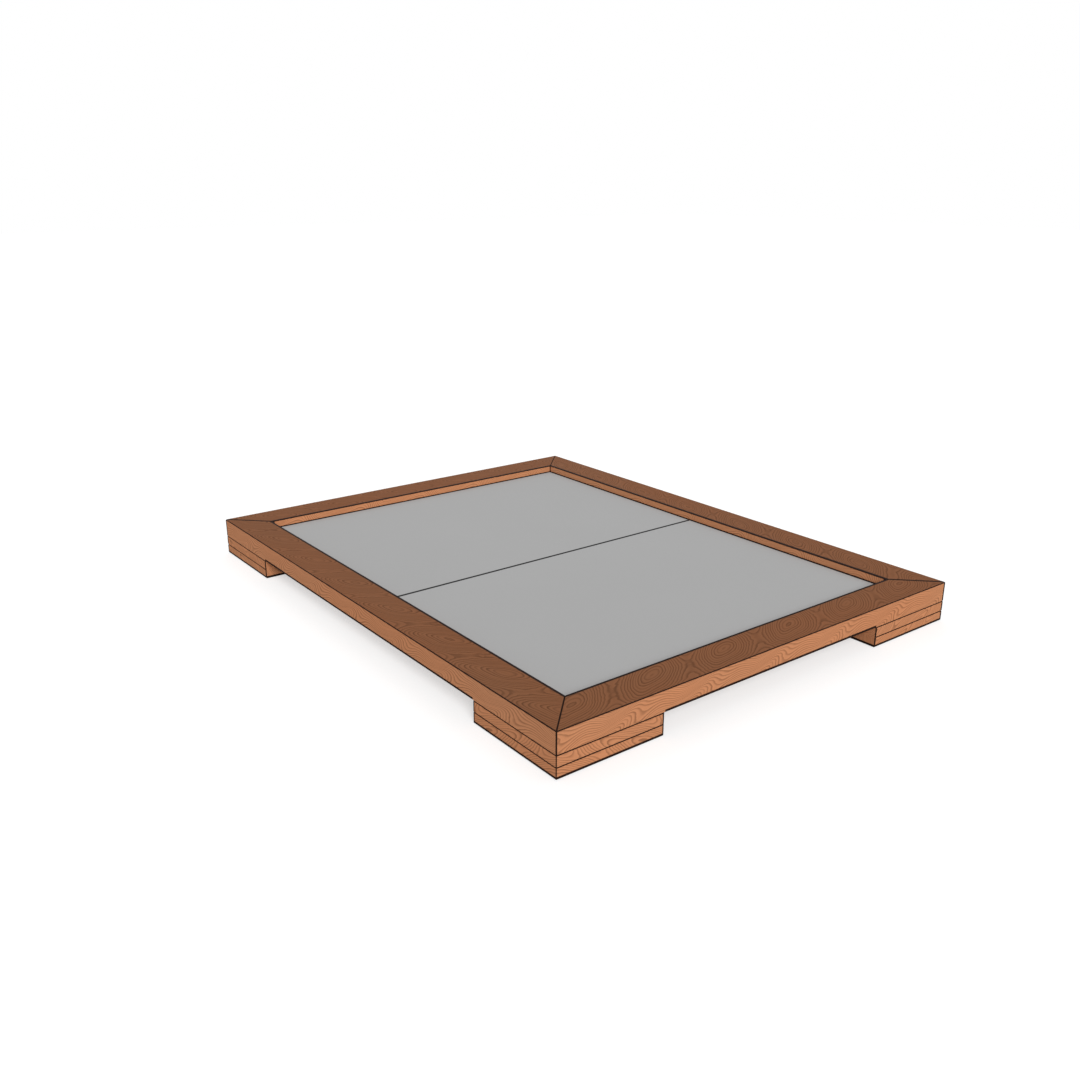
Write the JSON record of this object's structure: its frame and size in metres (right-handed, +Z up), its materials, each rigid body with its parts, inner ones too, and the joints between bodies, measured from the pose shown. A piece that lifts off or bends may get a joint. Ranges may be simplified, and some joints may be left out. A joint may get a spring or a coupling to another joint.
{
  "type": "tatami platform bed",
  "caption": "Low platform bed with wide mitred timber rails on square stacked-board corner legs, and lift-out grey deck panels that form a shallow mattress well.",
  "frame": {"origin": "on the floor, at the middle of the bed's footprint", "axes": "+Z up; +Y along the length, towards the head end; +X across the width, towards the right side as seen from the foot end"},
  "size_m": [1.8, 2.3, 0.15],
  "materials": {
    "rail_timber": "satin oiled hardwood, red-brown, with fine swirling cathedral grain",
    "leg_timber": "satin oiled hardwood, red-brown, glued up from staves",
    "deck_board": "matt mid-grey painted board",
    "pine": "planed pine, unfinished",
    "beech": "planed beech, unfinished",
    "steel": "zinc-plated steel",
    "brass": "plain brass"
  },
  "bodies": {
    "frame": {"head_rail": "rail_timber", "foot_rail": "rail_timber", "left_rail": "rail_timber", "right_rail": "rail_timber", "mitre_tenons": "beech", "head_left_leg_upper": "leg_timber", "head_left_leg_lower": "leg_timber", "head_right_leg_upper": "leg_timber", "head_right_leg_lower": "leg_timber", "foot_left_leg_upper": "leg_timber", "foot_left_leg_lower": "leg_timber", "foot_right_leg_upper": "leg_timber", "foot_right_leg_lower": "leg_timber", "rail_inserts": "brass", "leg_bolts": "steel", "leg_washers": "steel", "leg_screws": "steel", "head_cleat": "pine", "foot_cleat": "pine", "left_cleat": "pine", "right_cleat": "pine", "cleat_screws": "steel", "spine": "pine", "head_bearer": "pine", "middle_bearer": "pine", "foot_bearer": "pine", "lap_screws": "steel", "head_centre_leg": "pine", "middle_centre_leg": "pine", "foot_centre_leg": "pine", "coach_screws": "steel", "coach_washers": "steel"},
    "head_deck": {"head_deck_panel": "deck_board"},
    "foot_deck": {"foot_deck_panel": "deck_board"}
  },
  "joints": [
    {"name": "head_deck_lift", "type": "slide", "parent": "frame", "child": "head_deck", "axis": [0, 0, 1], "range_m": [0, 0.15]},
    {"name": "foot_deck_lift", "type": "slide", "parent": "frame", "child": "foot_deck", "axis": [0, 0, 1], "range_m": [0, 0.15]}
  ]
}
